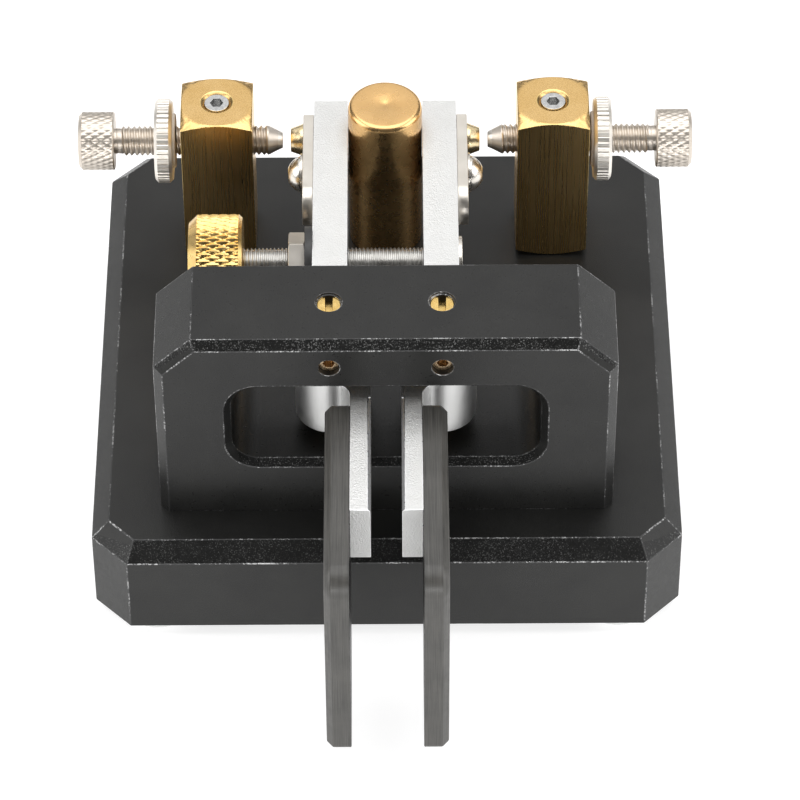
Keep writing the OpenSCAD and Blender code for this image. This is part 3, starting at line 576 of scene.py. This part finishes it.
def rolled(build, grid, turn, radius, height):
    """The grid wrapped round Z at this radius and height, with its seam closed."""
    angle = turn * (2 * math.pi)
    spot = build.node("ShaderNodeCombineXYZ", X=radius * angle.maths("COSINE"),
                      Y=radius * angle.maths("SINE"), Z=height)
    moved = build.node("GeometryNodeSetPosition", Geometry=grid, Position=spot)
    return build.node("GeometryNodeMergeByDistance", Geometry=moved, Distance=0.0008 * MM)


def thread_tree():
    """A threaded rod along +Z with a coned start and a plain neck at its far end."""
    build, given = geometry_tree("thread", Length="Float", Radius="Float", Pitch="Float",
                                 Depth="Float", Cone="Float", Cone_Length="Float",
                                 Neck="Float", Neck_Length="Float")
    rows_per_turn, columns = 8, 41
    pitch, length = given["Pitch"], given["Length"]
    turns = (length / pitch).maths("CEIL") + 1
    rows = turns * rows_per_turn + 3
    grid, turn, row = wrapped_grid(build, columns, rows)
    loose = (row - 1) / rows_per_turn * pitch - pitch + pitch * turn
    height = loose.held(0.0, length)
    crest, flank = 0.125, 0.375
    phase = (height / pitch - turn).maths("FRACT")
    fall = ((phase - crest) / flank).held()
    rise = ((phase - 2 * crest - flank) / flank).held()
    run_in = ((height - given["Cone_Length"]) / pitch * 2).held()
    cut = (fall - rise) * run_in
    thread = given["Radius"] - given["Depth"] * cut
    cone = given["Cone"] + (given["Radius"] - given["Cone"]) * height / given["Cone_Length"]
    neck_share = (length - height) < given["Neck_Length"]
    limit = given["Radius"] + (given["Neck"] - given["Radius"]) * neck_share
    radius = thread.maths("MINIMUM", cone).maths("MINIMUM", limit)
    inside = (row > 0.5) * (row < (rows - 1.5))
    deliver(build, rolled(build, grid, turn, radius * inside, height), given["Material"])
    return build.tree


def knurl_tree():
    """A drum along +Z, bevelled at both ends, with V cuts that run round it both ways."""
    build, given = geometry_tree("knurled drum", Length="Float", Radius="Float", Bore="Float",
                                 Start_Bevel="Float", End_Bevel="Float", Cuts="Int",
                                 Lead="Float", Slant="Float", Depth="Float", Second="Float",
                                 Land="Float", Rows="Int")
    # At each end, four rows close the drum: its middle, its bore and the bevel's two edges.
    steps_per_cut = 8
    rows = given["Rows"] + 8
    grid, turn, row = wrapped_grid(build, given["Cuts"] * steps_per_cut + 1, rows)
    along = ((row - 4) / (given["Rows"] - 1)).held()
    span = given["Length"] - given["Start_Bevel"] - given["End_Bevel"]
    at_start = row < 2.5
    at_end = row > (rows - 3.5)
    in_bore = (row < 0.5).maths("MAXIMUM", row > (rows - 1.5))
    height = ((given["Start_Bevel"] + along * span) * (1 - at_start) * (1 - at_end)
              + given["Length"] * at_end)
    height = height * (1 - in_bore) + given["Length"] * 0.5 * in_bore
    around = turn * given["Cuts"]
    step = given["Slant"] * height / given["Lead"]
    cuts = []
    for helix in (around + step, around - step):
        ridge = abs(helix.maths("FRACT") - 0.5) * 2
        deep = (ridge - given["Land"]) / (1 - given["Land"])
        cuts.append(deep.maths("MAXIMUM", 0.0))
    cut = cuts[0].maths("MAXIMUM", cuts[1] * given["Second"]) * given["Depth"]
    cut = cut * (row > 3.5) * (row < (rows - 4.5))
    start_edge = given["Radius"] - given["Start_Bevel"]
    end_edge = given["Radius"] - given["End_Bevel"]
    side = (given["Radius"] - cut) * (1 - at_start) * (1 - at_end)
    rims = start_edge * at_start + end_edge * at_end
    hole = (row < 1.5).maths("MAXIMUM", row > (rows - 2.5))
    radius = (side + rims) * (1 - hole) + given["Bore"] * hole
    deliver(build, rolled(build, grid, turn, radius, height), given["Material"])
    return build.tree


def tidied(meshes, name, matrix, angle=32):
    """Joins grown meshes into one closed mesh and moves it to its place."""
    work = bmesh.new()
    for mesh in meshes:
        work.from_mesh(mesh)
    bmesh.ops.remove_doubles(work, verts=work.verts, dist=0.0005 * MM)
    loose = [e for e in work.edges if not e.link_faces]
    bmesh.ops.delete(work, geom=loose, context="EDGES")
    bmesh.ops.delete(work, geom=[v for v in work.verts if not v.link_faces], context="VERTS")
    work.transform(matrix)
    made = bpy.data.meshes.new(name)
    work.to_mesh(made)
    work.free()
    for material in meshes[0].materials:
        made.materials.append(material)
    smooth(made, angle)
    return made


def facing(direction, start):
    """Takes +Z to +X or -X, and the origin to the start."""
    return Matrix.Translation(start) @ Matrix.Rotation(direction * math.pi / 2, 4, "Y")


def lathed(name, outline, material, columns=96):
    """A turned shape round Z from (radius, height) points, all in metres."""
    work = bmesh.new()
    spots = [work.verts.new((radius, 0, height)) for radius, height in outline]
    edges = [work.edges.new(pair) for pair in zip(spots, spots[1:])]
    bmesh.ops.spin(work, geom=spots + edges, cent=(0, 0, 0), axis=(0, 0, 1),
                   angle=2 * math.pi, steps=columns, use_duplicate=False)
    bmesh.ops.remove_doubles(work, verts=work.verts, dist=0.0005 * MM)
    bmesh.ops.recalc_face_normals(work, faces=work.faces)
    mesh = bpy.data.meshes.new(name)
    work.to_mesh(mesh)
    work.free()
    mesh.materials.append(material)
    return mesh


def placed(node, mesh, body):
    """Puts a finished mesh in the scene, on its body and in place of its CAD node."""
    piece = bpy.data.objects.new(node + "_finished", mesh)
    bpy.context.scene.collection.objects.link(piece)
    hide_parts(node)
    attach(piece, body)


thread = thread_tree()
knurl = knurl_tree()
silver = finish("silver point", speckle((0.7, 0.66, 0.6), (0.78, 0.74, 0.68), 0.6),
                uneven(0.3, 0.4, 0.4), 1.0)
tip_outline = [(0, 0), (1.0 * MM, 0), (1.05 * MM, 0.05 * MM), (1.3 * MM, 0.6 * MM),
               (0.7 * MM, 0.6 * MM), (0.7 * MM, 2.1 * MM), (0, 2.1 * MM)]
for side, direction in (("left", -1), ("right", 1)):
    low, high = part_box(side + "_contact_screw")
    tip_low, tip_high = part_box(side + "_contact_tip")
    spot = middle(side + "_contact_screw")
    nose_x = low.x if direction > 0 else high.x
    total = high.x - low.x
    head_length = 4.65 * MM
    head_radius = (high.z - low.z) / 2
    stainless = finish(
        side + " stainless", speckle((0.6, 0.54, 0.47), (0.69, 0.63, 0.56), 1.5),
        uneven(0.36, 0.44, 1.0), 1.0)
    rod = grown(thread, "rod", Length=total - head_length + 0.2 * MM, Radius=1.95 * MM,
                Pitch=0.7 * MM, Depth=0.3 * MM, Cone=1.3 * MM, Cone_Length=1.3 * MM,
                Neck=1.68 * MM, Neck_Length=1.25 * MM, Material=stainless)
    head = grown(knurl, "head", Length=head_length, Radius=head_radius, Bore=0.0, Cuts=30,
                 Start_Bevel=0.15 * MM, End_Bevel=0.45 * MM, Lead=1.6 * MM, Slant=1.0,
                 Depth=0.11 * MM, Second=0.8, Land=0.2, Rows=27, Material=stainless)
    head.transform(Matrix.Translation((0, 0, total - head_length)))
    start = Vector((nose_x, spot.y, spot.z))
    screw = side + "_contact_screw"
    placed(screw, tidied([rod, head], screw, facing(direction, start)), screw)
    tip = side + "_contact_tip"
    tip_x = tip_low.x if direction > 0 else tip_high.x
    point = tidied([lathed("point", tip_outline, silver)], tip,
                   facing(direction, Vector((tip_x, spot.y, spot.z))))
    placed(tip, point, tip)


# --- Lock nuts --------------------------------------------------------------------------
# Round nickel-plated nuts on the contact screws, with straight serrations round the rim
# for the fingers and a low hub that bears on the post.

def turned(centre, along, pitch):
    """Fine rings on a faced end, round an axis through the centre along X, Y or Z."""
    def rings(shade):
        place = shade.node("ShaderNodeMapping", Vector=object_place(shade),
                           Location=tuple(-centre))
        parts = [shade.node("ShaderNodeSeparateXYZ", Vector=place, output=i) for i in range(3)]
        across = [part for i, part in enumerate(parts) if i != along]
        out = (across[0] * across[0] + across[1] * across[1]).maths("SQRT")
        wander = noise(shade, object_place(shade), 0.8) * 0.6
        return (out / (pitch * MM) * (2 * math.pi) + wander).maths("SINE") * 0.5 + 0.5
    return rings


for side, direction in (("left", -1), ("right", 1)):
    low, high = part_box(side + "_lock_nut")
    spot = middle(side + "_lock_nut")
    hub_length = 0.35 * MM
    rim_length = high.x - low.x - hub_length
    plated = finish(side + " nut nickel", speckle((0.76, 0.72, 0.66), (0.84, 0.8, 0.74), 1.5),
                    uneven(0.36, 0.46, 1.0), 1.0,
                    bump=turned(spot, 0, 0.14), depth=0.001)
    rim = grown(knurl, "rim", Length=rim_length, Radius=(high.z - low.z) / 2, Bore=2.0 * MM,
                Start_Bevel=0.4 * MM, End_Bevel=0.4 * MM, Cuts=48, Lead=1.0 * MM, Slant=0.0,
                Depth=0.15 * MM, Second=1.0, Land=0.6, Rows=4, Material=plated)
    rim.transform(Matrix.Translation((0, 0, hub_length)))
    hub = lathed("hub", [(2.0 * MM, hub_length), (2.0 * MM, 0), (3.5 * MM, 0),
                         (3.6 * MM, 0.1 * MM), (3.6 * MM, hub_length), (2.0 * MM, hub_length)],
                 plated)
    start = Vector((low.x if direction > 0 else high.x, spot.y, spot.z))
    nut = side + "_lock_nut"
    placed(nut, tidied([rim, hub], nut, facing(direction, start)), nut)


# --- Centre post ------------------------------------------------------------------------
# A turned and polished brass stop between the arms, with a rounded top edge and the
# lathe's rings on its end. A screw from under the base holds it.

low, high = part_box("centre_post")
spot = middle("centre_post")
stop_radius = (high.x - low.x) / 2
stop_edge = 0.8 * MM
stop_top = high.z - low.z
stop_brass = finish("polished brass", speckle((0.75, 0.47, 0.2), (0.81, 0.52, 0.23), 2.5),
                    uneven(0.24, 0.31, 1.5), 1.0,
                    bump=turned(spot, 2, 0.2), depth=0.001)
arc = [math.radians(a) for a in range(0, 91, 10)]
outline = [(1.6 * MM, 8 * MM), (1.6 * MM, 0), (stop_radius - 0.2 * MM, 0),
           (stop_radius, 0.2 * MM)]
outline += [(stop_radius - stop_edge + stop_edge * math.cos(a),
             stop_top - stop_edge + stop_edge * math.sin(a)) for a in arc]
outline += [(0.35 * MM, stop_top), (0, stop_top - 0.12 * MM)]
mesh = lathed("centre_post", [(0, 8 * MM)] + outline, stop_brass, 128)
mesh.transform(Matrix.Translation((spot.x, spot.y, low.z)))
smooth(mesh)
placed("centre_post", mesh, "base")
edged("centre_post_screw", "base", zinc, width=0.06)


# --- Tension adjuster -------------------------------------------------------------------
# A fine-threaded stainless rod through the left arm carries a magnet at its inner end and
# a knurled brass knob outside. A nut and a black washer lock it against the arm.

low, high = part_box("tension_rod")
spot = middle("tension_rod")
rod_steel = finish("rod stainless", speckle((0.5, 0.49, 0.47), (0.6, 0.59, 0.57), 1.5),
                   uneven(0.26, 0.34, 1.0), 1.0)
rod = grown(thread, "rod", Length=high.x - low.x - 0.02 * MM, Radius=2.0 * MM, Pitch=0.5 * MM,
            Depth=0.24 * MM, Cone=1.6 * MM, Cone_Length=0.4 * MM, Neck=2.0 * MM,
            Neck_Length=0.0, Material=rod_steel)
rod_end = high.x - 0.02 * MM
mesh = tidied([rod], "tension_rod", facing(-1, Vector((rod_end, spot.y, spot.z))))
placed("tension_rod", mesh, "tension_rod")

low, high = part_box("tension_knob")
knob_brass = finish("knob brass", speckle((0.82, 0.56, 0.2), (0.88, 0.62, 0.25), 1.5),
                    uneven(0.24, 0.34, 1.0), 1.0,
                    bump=turned(spot, 0, 0.16), depth=0.001)
drum = grown(knurl, "drum", Length=high.x - low.x, Radius=(high.z - low.z) / 2, Bore=0.0,
             Start_Bevel=0.45 * MM, End_Bevel=1.1 * MM, Cuts=46, Lead=2.46 * MM, Slant=1.0,
             Depth=0.26 * MM, Second=0.85, Land=0.2, Rows=29, Material=knob_brass)
mesh = tidied([drum], "tension_knob", facing(-1, Vector((high.x, spot.y, spot.z))))
placed("tension_knob", mesh, "tension_rod")

edged("tension_nut", "tension_nut", plate_nickel, width=0.03, segments=1)
edged("tension_washer", "left_arm",
      finish("black washer", speckle((0.02,) * 3, (0.035,) * 3, 1.0), uneven(0.35, 0.5, 0.8),
             bump=grain(0.3), depth=0.006), width=0.08)


# --- Magnets ----------------------------------------------------------------------------
# Two nickel-plated neodymium discs that pull the arms together: one on the end of the
# rod and one let into the right arm.

edged("rod_magnet", "rod_magnet", nickel, width=0.12)
edged("arm_magnet", "right_arm", nickel, width=0.15)


# --- Output socket ----------------------------------------------------------------------
# A 3.5 mm stereo socket in the rear wall, moulded in black with a plated ring nut. Three
# wires run from it to the tinned tags under the posts.

paint("jack_socket", finish("socket moulding", speckle((0.015,) * 3, (0.025,) * 3, 1.0),
                            uneven(0.22, 0.34, 0.6), bump=grain(0.4), depth=0.004))
edged("jack_nut", "base", nickel, width=0.07)
paint("solder_tags", finish("tinned brass", speckle((0.66, 0.62, 0.52), (0.76, 0.73, 0.64), 0.8),
                            uneven(0.25, 0.4, 0.5), 1.0, bump=grain(0.3), depth=0.006))
paint("jack_wires", finish("wire insulation", speckle((0.45, 0.03, 0.025), (0.55, 0.05, 0.04), 1.0),
                           uneven(0.35, 0.45, 0.6), bump=grain(0.4), depth=0.006))


# --- Floor, lights and camera -----------------------------------------------------------
# The key stands on a plain white table under a large overhead softbox, between two side
# lights, with a bright wall behind it.

def panel(name, centre, width, height, watts, aim=(0, 0, 0.02)):
    light = bpy.data.lights.new(name, "AREA")
    light.shape = "RECTANGLE"
    light.size, light.size_y = width, height
    light.energy = watts
    holder = bpy.data.objects.new(name, light)
    holder.location = centre
    holder.rotation_euler = (Vector(aim) - Vector(centre)).to_track_quat("-Z", "Y").to_euler()
    bpy.context.scene.collection.objects.link(holder)


floor_mesh = bpy.data.meshes.new("floor")
reach = 3.0
floor_mesh.from_pydata([(-reach, -reach, 0), (reach, -reach, 0), (reach, reach, 0),
                        (-reach, reach, 0)], [], [(0, 1, 2, 3)])
floor_mesh.materials.append(finish("white table", (0.45, 0.45, 0.45), 0.6,
                                   Emission_Color=(1, 1, 1, 1), Emission_Strength=0.78))
floor = bpy.data.objects.new("floor", floor_mesh)
bpy.context.scene.collection.objects.link(floor)

panel("overhead", (0, 0.1, 0.9), 1.1, 0.9, 7.5)
panel("back", (0, 1.1, 0.9), 1.9, 1.1, 5.2)
panel("left side", (-0.9, -0.1, 0.5), 0.8, 0.8, 5.0)
panel("right side", (0.9, -0.1, 0.5), 0.8, 0.8, 5.0)
panel("low front", (0, -1.0, 0.12), 1.4, 0.22, 5.5)

world = bpy.data.worlds.new("studio")
world.use_nodes = True
world.node_tree.nodes["Background"].inputs["Color"].default_value = (1, 1, 1, 1)
world.node_tree.nodes["Background"].inputs["Strength"].default_value = 0.12
bpy.context.scene.world = world
bpy.context.scene.view_settings.view_transform = "Standard"

camera_data = bpy.data.cameras.new("camera")
camera_data.sensor_width = 36
camera_data.lens = 202.36
camera_data.clip_start, camera_data.clip_end = 0.05, 10
camera = bpy.data.objects.new("camera", camera_data)
yaw, down, roll = 0.0014, 0.8037, -0.0045
ahead = Vector((math.sin(yaw) * math.cos(down), math.cos(yaw) * math.cos(down), -math.sin(down)))
level = Vector((math.cos(yaw), -math.sin(yaw), 0))
upright = level.cross(ahead)
right = math.cos(roll) * level + math.sin(roll) * upright
up = -math.sin(roll) * level + math.cos(roll) * upright
turn = Matrix((right, up, -ahead)).transposed().to_4x4()
camera.matrix_world = Matrix.Translation(Vector((1.192, -406.605, 436.738)) * MM) @ turn
bpy.context.scene.collection.objects.link(camera)
bpy.context.scene.camera = camera
